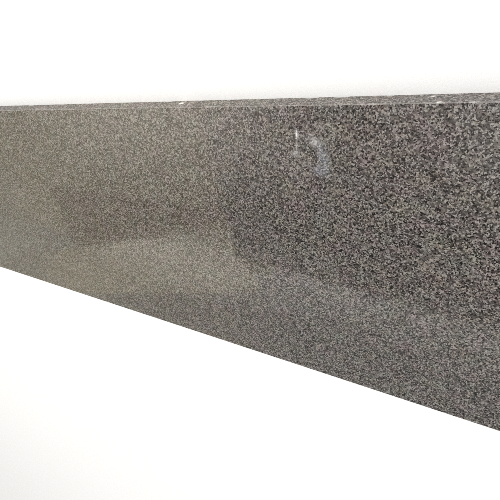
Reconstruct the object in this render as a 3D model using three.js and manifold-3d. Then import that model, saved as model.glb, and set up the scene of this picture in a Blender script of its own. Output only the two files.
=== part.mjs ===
// Granite slab: one sawn strip of stone lying flat, its polished face up.
// Millimetres. X runs along the strip, Y across it and Z up from the sawn underside.
import * as THREE from 'three';
import { mergeVertices } from 'three/addons/utils/BufferGeometryUtils.js';
import Module from 'manifold-3d';

const wasm = await Module();
wasm.setup();

// The strip as sawn
const SLAB_LENGTH = 2400;
const SLAB_WIDTH = 600;
const SLAB_THICKNESS = 30;

// Narrow flat rubbed along every arris of the two broad faces
const ARRIS_FLAT = 1.2;

// Flakes knocked out of the arrises by the saw and in handling
const FLAKE_LENGTH_MIN = 6;
const FLAKE_LENGTH_MAX = 42;
const FLAKE_DEPTH_RATIO = 0.17; // reach into the stone, as a share of the flake's length
const FLAKE_PROUD_RATIO = 0.35; // how far its centre may stand off the arris, as a share of that reach
const FLAKE_WANDER = 0.6; // how far it may stray along the arris, as a share of the pitch
const FLAKE_END_CLEARANCE = 35;
const FLAKE_FACETS = 1; // how many times each face of the twenty-sided ball is split
const POLISHED_ARRIS_PITCH = 190;
const POLISHED_FLAKE_SCALE = 0.38;
const SAWN_ARRIS_PITCH = 62;
const SAWN_FLAKE_SCALE = 1;
const FLAKE_SEED = 20011;

const STONE_COLOUR = 0x736d68;
const STONE_ROUGHNESS = 0.35;

// Repeatable spread of numbers from 0 to 1, so the flakes always fall in the same places
function spreadFrom(seed) {
  const multiplier = 16807;
  const modulus = 2147483647;
  let state = seed;
  return () => {
    state = (state * multiplier) % modulus;
    return state / modulus;
  };
}

function solidOf(geometry) {
  geometry.deleteAttribute('normal');
  geometry.deleteAttribute('uv');
  const welded = mergeVertices(geometry);
  return new wasm.Manifold(new wasm.Mesh({
    numProp: 3,
    vertProperties: new Float32Array(welded.attributes.position.array),
    triVerts: new Uint32Array(welded.index.array),
  }));
}

function geometryOf(solid) {
  const mesh = solid.getMesh();
  const geometry = new THREE.BufferGeometry();
  geometry.setAttribute('position', new THREE.BufferAttribute(mesh.vertProperties, 3));
  geometry.setIndex(new THREE.BufferAttribute(mesh.triVerts, 1));
  geometry.computeVertexNormals();
  return geometry;
}

// Flat strip with square corners and the arris flat all round both broad faces
function sawnStrip() {
  const halfLength = SLAB_LENGTH / 2;
  const halfWidth = SLAB_WIDTH / 2;
  const plan = new THREE.Shape();
  plan.moveTo(-halfLength, -halfWidth);
  plan.lineTo(halfLength, -halfWidth);
  plan.lineTo(halfLength, halfWidth);
  plan.lineTo(-halfLength, halfWidth);
  plan.closePath();
  const geometry = new THREE.ExtrudeGeometry(plan, {
    depth: SLAB_THICKNESS - 2 * ARRIS_FLAT,
    bevelEnabled: true,
    bevelSegments: 1,
    bevelThickness: ARRIS_FLAT,
    bevelSize: ARRIS_FLAT,
    bevelOffset: -ARRIS_FLAT,
  });
  geometry.translate(0, 0, ARRIS_FLAT);
  return solidOf(geometry);
}

// One shell-shaped flake: a squashed ball, long way along the arris
function flake(length, alongY) {
  const ball = new THREE.IcosahedronGeometry(length / 2, FLAKE_FACETS);
  ball.scale(1, FLAKE_DEPTH_RATIO * 2, FLAKE_DEPTH_RATIO * 2);
  if (alongY) {
    ball.rotateZ(Math.PI / 2);
  }
  return ball;
}

// Flakes strung along one arris: alongY, side and top say which of the eight it is
function arrisFlakes(arris, spread) {
  const { alongY, side, top } = arris;
  const run = alongY ? SLAB_WIDTH : SLAB_LENGTH;
  const reach = (alongY ? SLAB_LENGTH : SLAB_WIDTH) / 2;
  const pitch = top ? POLISHED_ARRIS_PITCH : SAWN_ARRIS_PITCH;
  const scale = top ? POLISHED_FLAKE_SCALE : SAWN_FLAKE_SCALE;
  const count = Math.floor((run - 2 * FLAKE_END_CLEARANCE) / pitch);
  const flakes = [];
  for (let index = 0; index < count; index += 1) {
    const step = index + 0.5 + FLAKE_WANDER * (spread() - 0.5);
    const position = (step - count / 2) * pitch;
    const size = FLAKE_LENGTH_MIN + (FLAKE_LENGTH_MAX - FLAKE_LENGTH_MIN) * spread() ** 2;
    const length = size * scale;
    const proud = FLAKE_PROUD_RATIO * FLAKE_DEPTH_RATIO * length;
    const outward = side * (reach + proud * spread());
    const height = (top ? SLAB_THICKNESS : 0) + (top ? 1 : -1) * proud * spread();
    const ball = flake(length, alongY);
    ball.translate(alongY ? outward : position, alongY ? position : outward, height);
    flakes.push(solidOf(ball));
  }
  return flakes;
}

function chippedStrip() {
  const spread = spreadFrom(FLAKE_SEED);
  let strip = sawnStrip();
  for (const top of [true, false]) {
    for (const alongY of [false, true]) {
      for (const side of [-1, 1]) {
        for (const bite of arrisFlakes({ alongY, side, top }, spread)) {
          strip = strip.subtract(bite);
        }
      }
    }
  }
  return strip;
}

function stone() {
  return new THREE.MeshStandardMaterial({
    color: STONE_COLOUR,
    roughness: STONE_ROUGHNESS,
    metalness: 0,
  });
}

const slab = new THREE.Mesh(geometryOf(chippedStrip()), stone());
slab.name = 'granite_slab';

const group = new THREE.Group();
group.name = 'granite_slab_part';
group.add(slab);

export default group;
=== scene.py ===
"""Granite slab lying on a pale floor: polished face up, sawn edges and back, chipped arrises."""
import math
import random

import bmesh
import bpy
from mathutils import Matrix, Vector, noise


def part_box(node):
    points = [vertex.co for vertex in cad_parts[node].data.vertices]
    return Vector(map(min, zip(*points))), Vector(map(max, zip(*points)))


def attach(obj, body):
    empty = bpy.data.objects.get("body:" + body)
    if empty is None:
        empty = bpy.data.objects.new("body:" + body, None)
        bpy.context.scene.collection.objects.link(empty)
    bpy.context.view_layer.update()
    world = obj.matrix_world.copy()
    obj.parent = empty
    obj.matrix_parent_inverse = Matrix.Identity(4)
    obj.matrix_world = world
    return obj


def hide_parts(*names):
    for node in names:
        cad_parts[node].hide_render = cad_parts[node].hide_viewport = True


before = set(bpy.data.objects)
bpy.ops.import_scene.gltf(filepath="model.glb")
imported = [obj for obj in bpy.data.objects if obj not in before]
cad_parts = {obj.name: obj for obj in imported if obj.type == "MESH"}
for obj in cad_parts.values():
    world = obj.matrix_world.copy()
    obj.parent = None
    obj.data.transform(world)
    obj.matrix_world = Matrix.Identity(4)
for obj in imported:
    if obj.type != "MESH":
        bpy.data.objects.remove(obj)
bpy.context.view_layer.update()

MM = 0.001
slab_low, slab_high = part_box("granite_slab")
slab_length = slab_high.x - slab_low.x
slab_width = slab_high.y - slab_low.y
slab_top = slab_high.z

# Small flakes broken out between the larger ones, along every arris. The higher their
# skew, the more of them are among the smallest.
CRUMB_SIZE = (1.4 * MM, 3.2 * MM)
CRUMB_SKEW = 3
CRUMB_GAP = {"polished": (9 * MM, 40 * MM), "sawn": (2 * MM, 9 * MM)}
CRUMB_FLATNESS = (0.4, 0.7)
CRUMB_CORNER_CLEARANCE = 6 * MM

# How far a small flake may turn about the arris and away from it, in radians
CRUMB_ROLL = 0.5
CRUMB_SWING = 0.25
CRUMB_SEED = 4117

# Fracture faces are split until their edges are about this short, then pushed unevenly
# into the stone: less at the rim of a flake than inside it
FRACTURE_EDGE = 1.7 * MM
FRACTURE_ROUNDS = 6
FRACTURE_DEPTH = 0.5 * MM
RIM_DEPTH = 0.35 * MM
FRACTURE_WAVE = 2.2 * MM

# Vertices this close are joined, edges this short are dropped after the roughening, and
# faces that turn by less than this from one to the next become one
WELD_REACH = 0.01 * MM
SLIVER = 0.001 * MM
FLAT_JOIN = math.radians(0.5)

# How wide the flat rubbed along every arris is, each way
RUBBED_ARRIS = 1.2 * MM

# A face counts as lying in one of the slab's flats when it is this close to it and this square on
PLANE_REACH = 0.02 * MM
SQUARE_ON = 0.999


# ---------------------------------------------------------------- the stone's shape

def weld(shape):
    """Joins vertices that all but touch."""
    bmesh.ops.remove_doubles(shape, verts=shape.verts, dist=WELD_REACH)
    bmesh.ops.dissolve_degenerate(shape, edges=shape.edges, dist=WELD_REACH)


def slab_blank():
    """The strip with its larger flakes, as one welded mesh with flat faces."""
    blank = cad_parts["granite_slab"].copy()
    blank.data = blank.data.copy()
    blank.name = blank.data.name = "polished_granite_strip"
    bpy.context.scene.collection.objects.link(blank)
    blank.data.materials.clear()
    shape = bmesh.new()
    shape.from_mesh(blank.data)
    weld(shape)
    bmesh.ops.dissolve_limit(
        shape, angle_limit=FLAT_JOIN, verts=shape.verts, edges=shape.edges
    )
    shape.to_mesh(blank.data)
    shape.free()
    return blank


def crumb(shape, place, size, along_y, rng):
    """One flake: a rough little ball, longer along the arris than it is deep."""
    made = bmesh.ops.create_icosphere(shape, subdivisions=1, radius=size / 2)
    verts = made["verts"]
    squash = Vector((1, rng.uniform(*CRUMB_FLATNESS), rng.uniform(*CRUMB_FLATNESS)))
    bmesh.ops.scale(shape, vec=squash, verts=verts)
    roll = Matrix.Rotation(rng.uniform(-CRUMB_ROLL, CRUMB_ROLL), 3, "X")
    turn = roll @ Matrix.Rotation(rng.uniform(-CRUMB_SWING, CRUMB_SWING), 3, "Z")
    if along_y:
        turn = Matrix.Rotation(math.pi / 2, 3, "Z") @ turn
    bmesh.ops.rotate(shape, cent=(0, 0, 0), matrix=turn, verts=verts)
    bmesh.ops.translate(shape, vec=place, verts=verts)


def crumbs_along(shape, along_y, side, top, rng):
    """Flakes at uneven gaps along one arris, the sawn arrises more broken than the polished."""
    half_run = (slab_width if along_y else slab_length) / 2 - CRUMB_CORNER_CLEARANCE
    reach = side * (slab_length if along_y else slab_width) / 2
    height = slab_top if top else 0
    gap = CRUMB_GAP["polished" if top else "sawn"]
    smallest, largest = CRUMB_SIZE
    at = -half_run
    while at < half_run:
        size = smallest + (largest - smallest) * rng.random() ** CRUMB_SKEW
        place = Vector((reach, at, height) if along_y else (at, reach, height))
        crumb(shape, place, size, along_y, rng)
        at += size + rng.uniform(*gap)


def crumble_arrises(blank):
    """Cuts the small flakes out of the strip."""
    rng = random.Random(CRUMB_SEED)
    shape = bmesh.new()
    for top in (True, False):
        for along_y in (False, True):
            for side in (-1, 1):
                crumbs_along(shape, along_y, side, top, rng)
    mesh = bpy.data.meshes.new("crumbs")
    shape.to_mesh(mesh)
    shape.free()
    cutter = bpy.data.objects.new("crumbs", mesh)
    bpy.context.scene.collection.objects.link(cutter)
    cut = blank.modifiers.new("crumbs", "BOOLEAN")
    cut.operation = "DIFFERENCE"
    cut.solver = "MANIFOLD"
    cut.object = cutter
    view = bpy.context.evaluated_depsgraph_get()
    finished = bpy.data.meshes.new_from_object(blank.evaluated_get(view))
    blank.modifiers.clear()
    finished.materials.clear()
    blank.data = finished
    finished.name = "polished_granite_strip"
    bpy.data.objects.remove(cutter)
    bpy.data.meshes.remove(mesh)


def finish_at(face):
    """The finish of the flat that a face lies in, or broken for the inside of a flake."""
    facing = face.normal
    centre = face.calc_center_median()
    off_end = slab_length / 2 - abs(centre.x)
    off_edge = slab_width / 2 - abs(centre.y)
    off_top = slab_top - centre.z
    least, middle, most = sorted(abs(value) for value in facing)
    if most > SQUARE_ON:
        if facing.z > 0 and off_top < PLANE_REACH:
            return "polished"
        return "sawn" if min(off_end, off_edge, centre.z) < PLANE_REACH else "broken"
    off_side = off_end if abs(facing.x) > abs(facing.y) else off_edge
    on_arris = abs(off_side + min(centre.z, off_top) - RUBBED_ARRIS) < PLANE_REACH
    at_45 = least < 1 - SQUARE_ON and most - middle < 1 - SQUARE_ON
    return "rubbed" if on_arris and at_45 else "broken"


def edge_length(edge):
    return edge.calc_length()


def fractures(shape):
    """The faces inside the flakes."""
    return [face for face in shape.faces if finish_at(face) == "broken"]


def split_fractures(shape):
    """Halves the fracture triangles across their longest edges, again and again."""
    for _ in range(FRACTURE_ROUNDS):
        bmesh.ops.triangulate(shape, faces=fractures(shape))
        longest = {max(face.edges, key=edge_length) for face in fractures(shape)}
        too_long = [edge for edge in shape.edges if edge in longest]
        too_long = [edge for edge in too_long if edge.calc_length() > FRACTURE_EDGE]
        bmesh.ops.subdivide_edges(
            shape, edges=too_long, cuts=1, use_grid_fill=True, use_single_edge=True
        )
    bmesh.ops.triangulate(shape, faces=fractures(shape))


def roughen_fractures(strip):
    """Grains pulled out of every flake, whose rim stays in the flat faces around it."""
    shape = bmesh.new()
    shape.from_mesh(strip.data)
    weld(shape)
    split_fractures(shape)
    fracture = set(fractures(shape))
    moves = []
    for vert in shape.verts:
        broken = [face.normal for face in vert.link_faces if face in fracture]
        planes = [face.normal for face in vert.link_faces if face not in fracture]
        if not broken or len(planes) > 1:
            continue
        inward = -sum(broken, Vector()).normalized()
        depth = FRACTURE_DEPTH
        if planes:
            inward -= planes[0] * inward.dot(planes[0])
            depth = RIM_DEPTH
        share = (noise.noise(vert.co / FRACTURE_WAVE) + 1) / 2
        moves.append((vert, inward * depth * share))
    for vert, move in moves:
        vert.co += move
        for axis in range(3):
            vert.co[axis] = min(max(vert.co[axis], slab_low[axis]), slab_high[axis])
    bmesh.ops.dissolve_degenerate(shape, edges=shape.edges, dist=SLIVER)
    shape.to_mesh(strip.data)
    shape.free()


# ---------------------------------------------------------------- finishes

# The noise node's colour strays evenly around this
NOISE_MIDDLE = (0.5, 0.5, 0.5)


class Finish:
    """A finish being mixed: one material, its nodes and the links between them."""

    def __init__(self, name):
        self.material = bpy.data.materials.new(name)
        self.material.use_nodes = True
        self.tree = self.material.node_tree
        self.tree.nodes.clear()
        self.output = self.node("ShaderNodeOutputMaterial")
        self.shader = self.node("ShaderNodeBsdfPrincipled")
        self.wire(self.shader.outputs["BSDF"], self.output.inputs["Surface"])
        self.place = self.node("ShaderNodeTexCoord").outputs["Object"]

    def node(self, kind, **settings):
        made = self.tree.nodes.new(kind)
        for key, value in settings.items():
            setattr(made, key, value)
        return made

    def wire(self, source, target):
        self.tree.links.new(source, target)

    def feed(self, target, value):
        """Wires a socket to a socket, or sets a plain number or colour on it."""
        if isinstance(value, bpy.types.NodeSocket):
            self.wire(value, target)
        else:
            target.default_value = value

    def math(self, operation, *values):
        made = self.node("ShaderNodeMath", operation=operation)
        for target, value in zip(made.inputs, values):
            self.feed(target, value)
        return made.outputs[0]

    def vector(self, operation, *values):
        made = self.node("ShaderNodeVectorMath", operation=operation)
        for target, value in zip(made.inputs, values):
            self.feed(target, value)
        return made

    def parts(self, colour):
        """The red, green and blue of a colour."""
        made = self.node("ShaderNodeSeparateColor")
        self.wire(colour, made.inputs["Color"])
        return made.outputs

    def axis(self, name):
        """How far along X, Y or Z, in metres."""
        made = self.node("ShaderNodeSeparateXYZ")
        self.wire(self.place, made.inputs["Vector"])
        return made.outputs[name]

    def noise(self, place, size, detail=2.0, rough=0.5, output="Fac"):
        """A cloudy pattern with patches of about one size."""
        made = self.node("ShaderNodeTexNoise")
        self.feed(made.inputs["Vector"], place)
        made.inputs["Scale"].default_value = 1 / size
        made.inputs["Detail"].default_value = detail
        made.inputs["Roughness"].default_value = rough
        return made.outputs[output]

    def stray(self, size, strength, around):
        """A place or colour that strays a little, each of its three parts on its own."""
        off = self.noise(self.place, size, rough=0.6, output="Color")
        off = self.vector("SUBTRACT", off, NOISE_MIDDLE).outputs[0]
        return self.vector("MULTIPLY_ADD", off, (strength,) * 3, around).outputs[0]

    def cells(self, place, size):
        """Crystals of about one size, each with its own random colour."""
        made = self.node("ShaderNodeTexVoronoi")
        self.feed(made.inputs["Vector"], place)
        made.inputs["Scale"].default_value = 1 / size
        return self.parts(made.outputs["Color"])

    def spread(self, value, low, high, to_low=0.0, to_high=1.0, how="LINEAR"):
        """A value taken from one range to another, and held at its ends."""
        made = self.node("ShaderNodeMapRange", clamp=True, interpolation_type=how)
        self.feed(made.inputs["Value"], value)
        for key, number in (
            ("From Min", low), ("From Max", high), ("To Min", to_low), ("To Max", to_high),
        ):
            made.inputs[key].default_value = number
        return made.outputs["Result"]

    def blend(self, share, first, second, kind="MIX"):
        """One colour with a share of another laid over it."""
        made = self.node("ShaderNodeMix", data_type="RGBA", blend_type=kind)
        self.feed(made.inputs["Factor"], share)
        self.feed(made.inputs["A"], first)
        self.feed(made.inputs["B"], second)
        return made.outputs["Result"]

    def tinted(self, colour, tint):
        """A colour made lighter, darker or another shade by multiplying it."""
        return self.blend(1.0, colour, tint, "MULTIPLY")

    def grey(self, value):
        """The grey whose three channels are all this value."""
        made = self.node("ShaderNodeCombineColor")
        for channel in ("Red", "Green", "Blue"):
            self.wire(value, made.inputs[channel])
        return made.outputs["Color"]

    def steps(self, value, stops):
        """A colour for each range of a value, without blending between them."""
        made = self.node("ShaderNodeValToRGB")
        self.feed(made.inputs["Fac"], value)
        band = made.color_ramp
        band.interpolation = "CONSTANT"
        band.elements[0].position, band.elements[0].color = stops[0]
        band.elements[1].position, band.elements[1].color = stops[-1]
        for position, colour in stops[1:-1]:
            band.elements.new(position).color = colour
        return made.outputs["Color"]

    def relief(self, height, depth, strength=1.0, under=None):
        """Fine ups and downs of a surface, on top of the relief under them if there is one."""
        made = self.node("ShaderNodeBump")
        made.inputs["Distance"].default_value = depth
        made.inputs["Strength"].default_value = strength
        self.feed(made.inputs["Height"], height)
        if under is not None:
            self.wire(under, made.inputs["Normal"])
        return made.outputs["Normal"]


# Minerals, as linear colours
BIOTITE = (0.013, 0.012, 0.012, 1)
SMOKY_QUARTZ = (0.066, 0.059, 0.056, 1)
GREY_FELDSPAR = (0.130, 0.116, 0.107, 1)
PALE_FELDSPAR = (0.254, 0.233, 0.216, 1)
PINK_FELDSPAR = (0.197, 0.168, 0.155, 1)
# Pale feldspar made lighter still: a painted glint, as if its cleavage faces caught the light
FELDSPAR_PAINTED_GLINT = (0.310, 0.290, 0.270, 1)

# Each crystal is given a number from 0 to 1, and is the mineral whose range that falls in.
# A mineral's range starts here and ends where the next one's starts.
MINERALS = (
    (0.00, BIOTITE), (0.11, SMOKY_QUARTZ), (0.40, GREY_FELDSPAR),
    (0.70, PALE_FELDSPAR), (0.88, PINK_FELDSPAR),
)
BIG_MICA_SHARE = MINERALS[1][0]
PAINTED_GLINT_SHARE = 0.09
SMALL_MICA_SHARE = (0.05, 0.24)

# Crystals and the flecks among them, how far their borders bend and over what length, and
# how far apart the crowds of small mica are
GRAIN_SIZE = 2.6 * MM
FLECK_SIZE = 1.8 * MM
GRAIN_WANDER = 0.7 * MM
GRAIN_BENDS = 1.6 * MM
MICA_CROWDS = 9 * MM

# Lighter and darker crystals, clouding inside each, and a slow drift in shade
CRYSTAL_SHADE = (0.68, 1.25)
MOTTLE_SIZE = 1.1 * MM
MOTTLE = (0.78, 1.22)
TINT_DRIFT = 35 * MM
TINT_STRENGTH = 0.24
NO_TINT = (1, 1, 1)

# Noise stays mostly between these, so they are taken as its ends
NOISE_ENDS = (0.35, 0.65)


def stone_grain(finish):
    """The crystals of the stone. Gives their colour and where the dark mica is."""
    bent = finish.stray(GRAIN_BENDS, 2 * GRAIN_WANDER, finish.place)

    crystal = finish.cells(bent, GRAIN_SIZE)
    colour = finish.steps(crystal["Red"], MINERALS)
    shade = finish.spread(crystal["Green"], 0, 1, *CRYSTAL_SHADE)
    colour = finish.tinted(colour, finish.grey(shade))

    fleck = finish.cells(bent, FLECK_SIZE)
    crowd = finish.spread(
        finish.noise(finish.place, MICA_CROWDS, detail=1), *NOISE_ENDS, *SMALL_MICA_SHARE
    )
    small_mica = finish.math("LESS_THAN", fleck["Blue"], crowd)
    # A share of the flecks gets the painted glint: pale feldspar lightened as if catching the
    # light
    painted_glint = finish.math("GREATER_THAN", fleck["Blue"], 1 - PAINTED_GLINT_SHARE)
    colour = finish.blend(painted_glint, colour, FELDSPAR_PAINTED_GLINT)
    colour = finish.blend(small_mica, colour, BIOTITE)

    mottle = finish.spread(
        finish.noise(finish.place, MOTTLE_SIZE, detail=1), *NOISE_ENDS, *MOTTLE
    )
    colour = finish.tinted(colour, finish.grey(mottle))

    colour = finish.tinted(colour, finish.stray(TINT_DRIFT, TINT_STRENGTH, NO_TINT))
    big_mica = finish.math("LESS_THAN", crystal["Red"], BIG_MICA_SHARE)
    return colour, finish.math("MAXIMUM", small_mica, big_mica)


# Marks on the stone: the middle of each, how far it reaches each way, its heading and how
# thickly it covers. A mark reaches right through the stone along the way it faces. One with
# a thickness over 1 covers its thinner patches too.
THROUGH = 1.0
SCRATCH = ((0.535, 0.2548, slab_top), (9 * MM, 2.1 * MM, THROUGH), math.radians(78), 1.0)
SCRATCH_TAIL = ((0.531, 0.2360, slab_top), (9 * MM, 2.4 * MM, THROUGH), math.radians(78), 0.35)
SCRATCH_END = ((0.526, 0.2228, slab_top), (9 * MM, 6 * MM, THROUGH), math.radians(15), 0.4)
BLOOM_CHALK = ((0.563, 0.2435, slab_top), (14 * MM, 9 * MM, THROUGH), math.radians(130), 0.3)
BLOOM_HEAD = ((0.571, 0.2380, slab_top), (16 * MM, 12 * MM, THROUGH), math.radians(120), 0.42)
BLOOM_NECK = ((0.574, 0.2180, slab_top), (24 * MM, 12 * MM, THROUGH), math.radians(90), 0.68)
BLOOM_FOOT = ((0.567, 0.1965, slab_top), (18 * MM, 13 * MM, THROUGH), math.radians(20), 0.68)
CHALK = (0.90, 0.88, 0.86, 1)
BLOOM_FILM = (0.160, 0.178, 0.215, 1)
MARK_DULLING = 0.4

# A mark thickens inwards between these shares of its reach, and is thinner in patches
MARK_EDGE = (1.15, 0.3)
MARK_PATCH = 3 * MM
MARK_PATCHES = (0.38, 0.62)
MARK_THINNEST = 0.35

# Stone crushed white where the rear edge was knocked, in three places and along the arrises
BRUISES = (
    ((0.298, slab_high.y, 12 * MM), (6.5 * MM, THROUGH, 5 * MM), 0, 2.0),
    ((0.734, slab_high.y, 8 * MM), (4.5 * MM, THROUGH, 2.6 * MM), 0, 1.3),
    ((0.747, slab_high.y, 28 * MM), (4.5 * MM, THROUGH, 2.6 * MM), 0, 1.3),
)
CRUSHED = (0.85, 0.83, 0.80, 1)
BRUISED_STRIP = 3 * MM
BRUISE_LENGTH = 26 * MM
BRUISE_PATCHES = (0.53, 0.66)
BRUISE_THICKNESS = 0.4


def smear(finish, mark):
    """How thickly one soft-edged, broken-up mark covers the stone."""
    place, reach, heading, thickness = mark
    across = finish.node("ShaderNodeMapping", vector_type="TEXTURE")
    finish.wire(finish.place, across.inputs["Vector"])
    across.inputs["Location"].default_value = place
    across.inputs["Rotation"].default_value = (0, 0, heading)
    across.inputs["Scale"].default_value = reach
    away = finish.vector("LENGTH", across.outputs["Vector"]).outputs["Value"]
    cover = finish.spread(away, *MARK_EDGE, 0, thickness)
    patches = finish.noise(finish.place, MARK_PATCH, detail=3, rough=0.7)
    patchy = finish.spread(patches, *MARK_PATCHES, MARK_THINNEST, 1)
    return finish.math("MULTIPLY", cover, patchy)


def thickest(finish, *marks):
    """How thickly several marks cover the stone, where the thickest counts."""
    cover = smear(finish, marks[0])
    for mark in marks[1:]:
        cover = finish.math("MAXIMUM", cover, smear(finish, mark))
    return cover


def bruising(finish):
    """Where the arrises and the knocked places are crushed white."""
    height = finish.axis("Z")
    from_arris = finish.math("MINIMUM", height, finish.math("SUBTRACT", slab_top, height))
    strip = finish.spread(from_arris, BRUISED_STRIP, 0, 0, BRUISE_THICKNESS)
    patches = finish.noise(finish.place, BRUISE_LENGTH, detail=4, rough=0.65)
    patchy = finish.spread(patches, *BRUISE_PATCHES)
    along_arrises = finish.math("MULTIPLY", strip, patchy)
    return finish.math("MAXIMUM", along_arrises, thickest(finish, *BRUISES))


STONE_IOR = 1.52

# The polish: how dull it is, where it swells by a hair and where mica was plucked out of it
POLISH_ROUGHNESS = (0.03, 0.06)
POLISH_DRIFT = 60 * MM
MICA_DULLING = 0.10
SWELL_LENGTH = 35 * MM
SWELL_DEPTH = 0.03 * MM
PLUCKED_DEPTH = 0.02 * MM
PLUCKED_STRENGTH = 0.6

# The saw finish: stone dust over paler crystals, blade marks and grit
SAWN_ROUGHNESS = 0.72
SAWN_LIFT = (1.3, 1.3, 1.3, 1)
STONE_DUST = (0.34, 0.32, 0.30, 1)
DUST_COVER = 0.18
BLADE_MARK_WIDTH = 1.4 * MM
BLADE_MARK_DEPTH = 0.15 * MM
BLADE_MARK_STRENGTH = 0.7
BLADE_MARK_STRETCH = (0.03, 1.0, 1.0)
GRIT_SIZE = 0.8 * MM
GRIT_DEPTH = 0.12 * MM
GRIT_STRENGTH = 0.6

# The fracture: pale where crystals were split, and rough
FRACTURE_ROUGHNESS = 0.6
SPLIT_CRYSTAL = (0.46, 0.44, 0.41, 1)
SPLIT_COVER = 0.38
SPLIT_SIZE = 1.5 * MM
SPLIT_DEPTH = 0.5 * MM
SPLIT_STRENGTH = 0.8


def polished_stone():
    """Mirror polish, a little duller where the mica has plucked, with two old marks."""
    finish = Finish("polished_granite")
    colour, mica = stone_grain(finish)
    bloom = thickest(finish, BLOOM_HEAD, BLOOM_NECK, BLOOM_FOOT)
    chalk = thickest(finish, SCRATCH, SCRATCH_TAIL, SCRATCH_END, BLOOM_CHALK)
    colour = finish.blend(bloom, colour, BLOOM_FILM, "ADD")
    colour = finish.blend(chalk, colour, CHALK)
    finish.wire(colour, finish.shader.inputs["Base Color"])
    drift = finish.noise(finish.place, POLISH_DRIFT, detail=3, rough=0.6)
    dull = finish.spread(drift, *NOISE_ENDS, *POLISH_ROUGHNESS)
    dull = finish.math("MULTIPLY_ADD", mica, MICA_DULLING, dull)
    marks = finish.math("MAXIMUM", chalk, bloom)
    dull = finish.math("MULTIPLY_ADD", marks, MARK_DULLING, dull)
    finish.wire(dull, finish.shader.inputs["Roughness"])
    finish.shader.inputs["IOR"].default_value = STONE_IOR
    swell = finish.noise(finish.place, SWELL_LENGTH, detail=1, rough=0.4)
    swollen = finish.relief(swell, SWELL_DEPTH)
    unplucked = finish.math("SUBTRACT", 1.0, mica)
    plucked = finish.relief(unplucked, PLUCKED_DEPTH, PLUCKED_STRENGTH, swollen)
    finish.wire(plucked, finish.shader.inputs["Normal"])
    return finish.material


def sawn_stone():
    """Fine saw finish: paler, matt, with shallow blade marks along the strip."""
    finish = Finish("sawn_granite")
    colour, _ = stone_grain(finish)
    dusty = finish.blend(DUST_COVER, finish.tinted(colour, SAWN_LIFT), STONE_DUST)
    dusty = finish.blend(bruising(finish), dusty, CRUSHED)
    finish.wire(dusty, finish.shader.inputs["Base Color"])
    finish.shader.inputs["Roughness"].default_value = SAWN_ROUGHNESS
    finish.shader.inputs["IOR"].default_value = STONE_IOR
    stretched = finish.vector("MULTIPLY", finish.place, BLADE_MARK_STRETCH).outputs[0]
    lines = finish.noise(stretched, BLADE_MARK_WIDTH, rough=0.6)
    blade_marks = finish.relief(lines, BLADE_MARK_DEPTH, BLADE_MARK_STRENGTH)
    grit = finish.noise(finish.place, GRIT_SIZE, rough=0.6)
    gritty = finish.relief(grit, GRIT_DEPTH, GRIT_STRENGTH, blade_marks)
    finish.wire(gritty, finish.shader.inputs["Normal"])
    return finish.material


def broken_stone():
    """Fresh fracture inside the flakes and along the rubbed arrises: pale and rough."""
    finish = Finish("broken_granite")
    colour, _ = stone_grain(finish)
    pale = finish.blend(SPLIT_COVER, colour, SPLIT_CRYSTAL)
    pale = finish.blend(bruising(finish), pale, CRUSHED)
    finish.wire(pale, finish.shader.inputs["Base Color"])
    finish.shader.inputs["Roughness"].default_value = FRACTURE_ROUGHNESS
    finish.shader.inputs["IOR"].default_value = STONE_IOR
    split = finish.noise(finish.place, SPLIT_SIZE, detail=4, rough=0.65)
    jagged = finish.relief(split, SPLIT_DEPTH, SPLIT_STRENGTH)
    finish.wire(jagged, finish.shader.inputs["Normal"])
    return finish.material


def lay_finishes(strip):
    """Polish on the top face, saw finish on the edges and back, fracture everywhere else."""
    slots = {"polished": 0, "sawn": 1, "broken": 2, "rubbed": 2}
    for material in (polished_stone(), sawn_stone(), broken_stone()):
        strip.data.materials.append(material)
    shape = bmesh.new()
    shape.from_mesh(strip.data)
    for face in shape.faces:
        face.material_index = slots[finish_at(face)]
        face.smooth = False
    shape.to_mesh(strip.data)
    shape.free()


def granite_strip():
    """The finished slab, in place of its CAD node."""
    strip = slab_blank()
    crumble_arrises(strip)
    roughen_fractures(strip)
    lay_finishes(strip)
    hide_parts("granite_slab")
    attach(strip, "root")


# ---------------------------------------------------------------- studio

FLOOR_REACH = 30.0
FLOOR_WHITE = (0.92, 0.92, 0.92, 1)
FLOOR_ROUGHNESS = 0.9
FLOOR_SHEEN = 0.1
SKY_WHITE = (1.0, 0.985, 0.96, 1)
SKY_STRENGTH = 0.92

# Each soft light: its place, what it aims at, its side, its beam, its power and its colour
SOFT_LIGHTS = {
    "softbox": ((-0.5, 3.2, 5.2), (0, 0, 0), 4.0, math.pi, 150, (1, 1, 1)),
    "edge_light": ((0.05, 1.3, 0.12), (0.2, 0.3, 0), 0.3, math.radians(74), 0.55, (1, 0.84, 0.52)),
}

# The camera stands past the rear edge and looks down along the strip
EYE_ABOVE_FACE = 0.606
EYE_PAST_REAR_EDGE = 0.235
EYE_ALONG = 0.94
AIM = Vector((0.377, 0.009, slab_top))
ROLL = math.radians(-135.86)
LENS = 36.0
SENSOR = 36.0
NEAREST_SEEN = 0.01
FARTHEST_SEEN = 200
FILTER_WIDTH = 0.8


def sheet(name, size, middle, turn=0.0, faces_down=False):
    """A flat rectangular sheet."""
    shape = bmesh.new()
    bmesh.ops.create_grid(shape, x_segments=1, y_segments=1, size=0.5)
    bmesh.ops.scale(shape, vec=(*size, 1), verts=shape.verts)
    bmesh.ops.rotate(shape, matrix=Matrix.Rotation(turn, 3, "Z"), verts=shape.verts)
    bmesh.ops.translate(shape, vec=middle, verts=shape.verts)
    if faces_down:
        bmesh.ops.reverse_faces(shape, faces=shape.faces)
    mesh = bpy.data.meshes.new(name)
    shape.to_mesh(mesh)
    shape.free()
    made = bpy.data.objects.new(name, mesh)
    bpy.context.scene.collection.objects.link(made)
    return made


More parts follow.
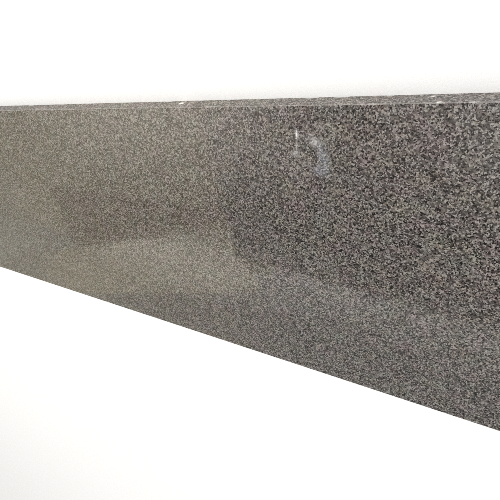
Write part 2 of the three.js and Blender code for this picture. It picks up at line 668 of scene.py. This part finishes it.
def floor():
    """A wide pale floor, level with the slab's underside."""
    made = sheet("floor", (2 * FLOOR_REACH, 2 * FLOOR_REACH), (0, 0, 0))
    finish = Finish("pale_floor")
    finish.shader.inputs["Base Color"].default_value = FLOOR_WHITE
    finish.shader.inputs["Roughness"].default_value = FLOOR_ROUGHNESS
    finish.shader.inputs["Specular IOR Level"].default_value = FLOOR_SHEEN
    made.data.materials.append(finish.material)


# What the polish mirrors: plain cards overhead that only mirrors see. Each has its low and high
# corner, its turn, how many steps it hangs below the highest and its colour.
CARD_HEIGHT = 1.5
CARD_STEP = 0.005
CARDS = {
    "shade": ((-6.2, -2.9), (0.95, 0.1), 0, 0, (0.08, 0.07, 0.06)),
    "ground": ((-6.2, -2.9), (0.95, -1.0), 0, 1, (0.23, 0.26, 0.25)),
    "far_wall": ((-6.2, -1.45), (-0.85, 0.1), 0, 2, (0.47, 0.44, 0.32)),
    "wall_foot": ((-3.1, -1.62), (-1.0, -0.95), 0, 3, (0.42, 0.34, 0.18)),
    "lit_ground": ((-7.12, -2.425), (-0.92, -1.875), math.radians(15), 4, (0.51, 0.48, 0.35)),
    "near_block": ((-1.05, -1.415), (1.0, 0.115), math.radians(-5), 5, (0.04, 0.03, 0.02)),
}

# Light lying on those cards: its colour, and from where to where it grows along X and Y
WASHES = (
    (("far_wall", "near_block"), (1.76, 1.61, 1.40),
     (("X", -3.4, -1.3), ("X", -0.05, -1.0), ("Y", -0.95, -0.1))),
    (("far_wall", "lit_ground"), (0.34, 0.30, 0.15), (("X", -4.6, -3.1),)),
    (("ground",), (0.19, 0.14, 0.06), (("X", -0.6, -1.6),)),
    (("ground",), (0.20, 0.20, 0.15), (("X", -2.6, -3.6),)),
    (("ground", "lit_ground"), (0.92, 0.87, 0.80),
     (("X", -3.2, -1.8), ("Y", -1.95, -1.4), ("Y", -1.1, -1.42))),
    (("near_block",), (0.34, 0.28, 0.25), (("Y", -0.95, -0.45),)),
    (("near_block",), (0.50, 0.48, 0.48), (("X", -0.1, 0.6), ("Y", -0.85, -0.35))),
)


def lit_card(name, colour):
    """A plain glowing finish, brightened by the washes that name its card."""
    finish = Finish(name)
    lamp = finish.node("ShaderNodeEmission")
    glow = (*colour, 1)
    for cards, wash, growth in WASHES:
        if name not in cards:
            continue
        share = 1.0
        for axis, start, end in growth:
            ramp = finish.spread(finish.axis(axis), start, end, how="SMOOTHSTEP")
            share = finish.math("MULTIPLY", share, ramp)
        glow = finish.blend(share, glow, (*wash, 1), "ADD")
    finish.feed(lamp.inputs["Color"], glow)
    finish.wire(lamp.outputs["Emission"], finish.output.inputs["Surface"])
    return finish.material


def surroundings():
    """Hangs the cards, one just below the other where they overlap."""
    for name, (low_corner, high_corner, turn, layer, colour) in CARDS.items():
        size = [b - a for a, b in zip(low_corner, high_corner)]
        middle = [(a + b) / 2 for a, b in zip(low_corner, high_corner)]
        height = CARD_HEIGHT - layer * CARD_STEP
        card = sheet(name, size, (*middle, height), turn, faces_down=True)
        card.data.materials.append(lit_card(name, colour))
        card.visible_camera = card.visible_diffuse = card.visible_shadow = False


def sky():
    """Even pale light from all round."""
    world = bpy.data.worlds.new("studio")
    bpy.context.scene.world = world
    world.use_nodes = True
    back = world.node_tree.nodes["Background"]
    back.inputs["Color"].default_value = SKY_WHITE
    back.inputs["Strength"].default_value = SKY_STRENGTH


def soft_lights():
    """Square lights that the stone is lit by but doesn't mirror."""
    for name, (place, aim, side, beam, power, colour) in SOFT_LIGHTS.items():
        lamp = bpy.data.lights.new(name, "AREA")
        lamp.size = side
        lamp.spread = beam
        lamp.energy = power
        lamp.color = colour
        made = bpy.data.objects.new(name, lamp)
        made.location = place
        made.rotation_euler = (Vector(aim) - Vector(place)).to_track_quat("-Z", "Y").to_euler()
        made.visible_camera = made.visible_glossy = False
        bpy.context.scene.collection.objects.link(made)


def camera():
    """Close over the rear edge and rolled, so that the strip widens from left to right."""
    lens = bpy.data.cameras.new("camera")
    lens.lens = LENS
    lens.sensor_width = SENSOR
    lens.clip_start = NEAREST_SEEN
    lens.clip_end = FARTHEST_SEEN
    made = bpy.data.objects.new("camera", lens)
    eye = Vector((EYE_ALONG, slab_high.y + EYE_PAST_REAR_EDGE, slab_top + EYE_ABOVE_FACE))
    look = (AIM - eye).to_track_quat("-Z", "Y").to_matrix().to_4x4()
    made.matrix_world = Matrix.Translation(eye) @ look @ Matrix.Rotation(ROLL, 4, "Z")
    bpy.context.scene.collection.objects.link(made)
    bpy.context.scene.camera = made


# The crystals are so fine that a wide filter or the denoiser would wipe them out
scene = bpy.context.scene
scene.view_settings.view_transform = "Standard"
scene.cycles.filter_width = FILTER_WIDTH
scene.cycles.use_denoising = False

camera()
granite_strip()
floor()
surroundings()
sky()
soft_lights()
